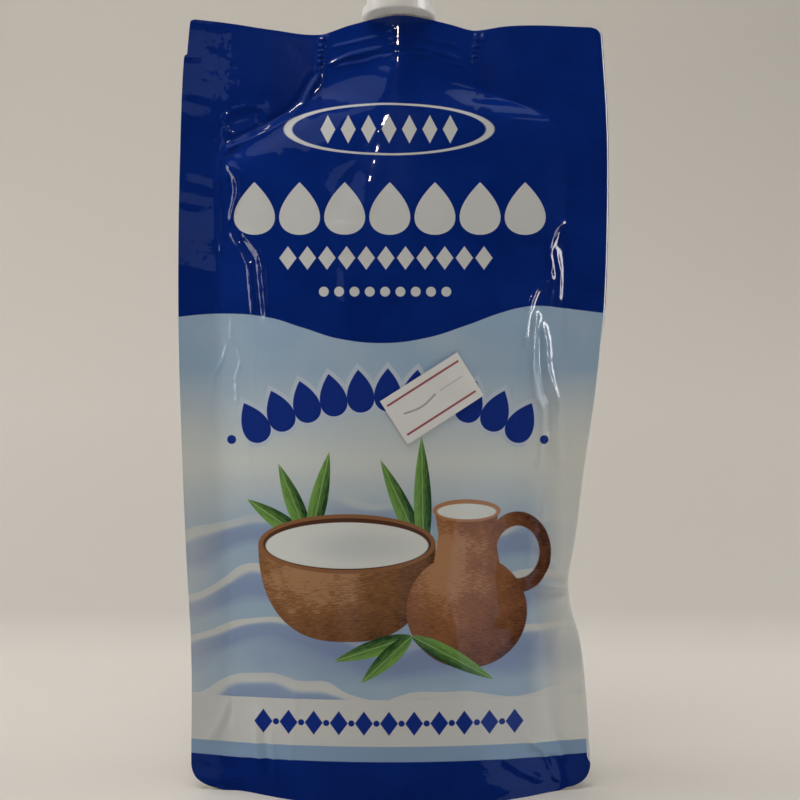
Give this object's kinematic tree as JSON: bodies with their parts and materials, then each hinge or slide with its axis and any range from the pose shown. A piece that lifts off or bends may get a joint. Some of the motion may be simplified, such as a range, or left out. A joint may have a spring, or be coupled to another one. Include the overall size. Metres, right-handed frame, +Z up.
{
  "type": "spouted stand-up pouch",
  "caption": "Full stand-up pouch of condensed milk with flat side seals, a base gusset, a welded centre spout with a ribbed screw cap, and a small price label.",
  "frame": {"origin": "the bottom centre of the whole object's box, on the surface the pouch stands on", "axes": "+Z up through the spout, -Y out of the printed front, +X towards the front's right-hand side seal"},
  "size_m": [0.1066, 0.0338, 0.2155],
  "materials": {
    "film": "glossy printed laminate film, creased by its filling",
    "white_plastic": "satin moulded white polyethylene",
    "ring_plastic": "satin moulded white polyethylene",
    "cap_plastic": "satin moulded white polyethylene",
    "label_paper": "matt label paper"
  },
  "bodies": {
    "root": {"pouch": "film", "spout": "white_plastic", "tamper_ring": "ring_plastic", "cap": "cap_plastic", "price_label": "label_paper"}
  },
  "joints": []
}
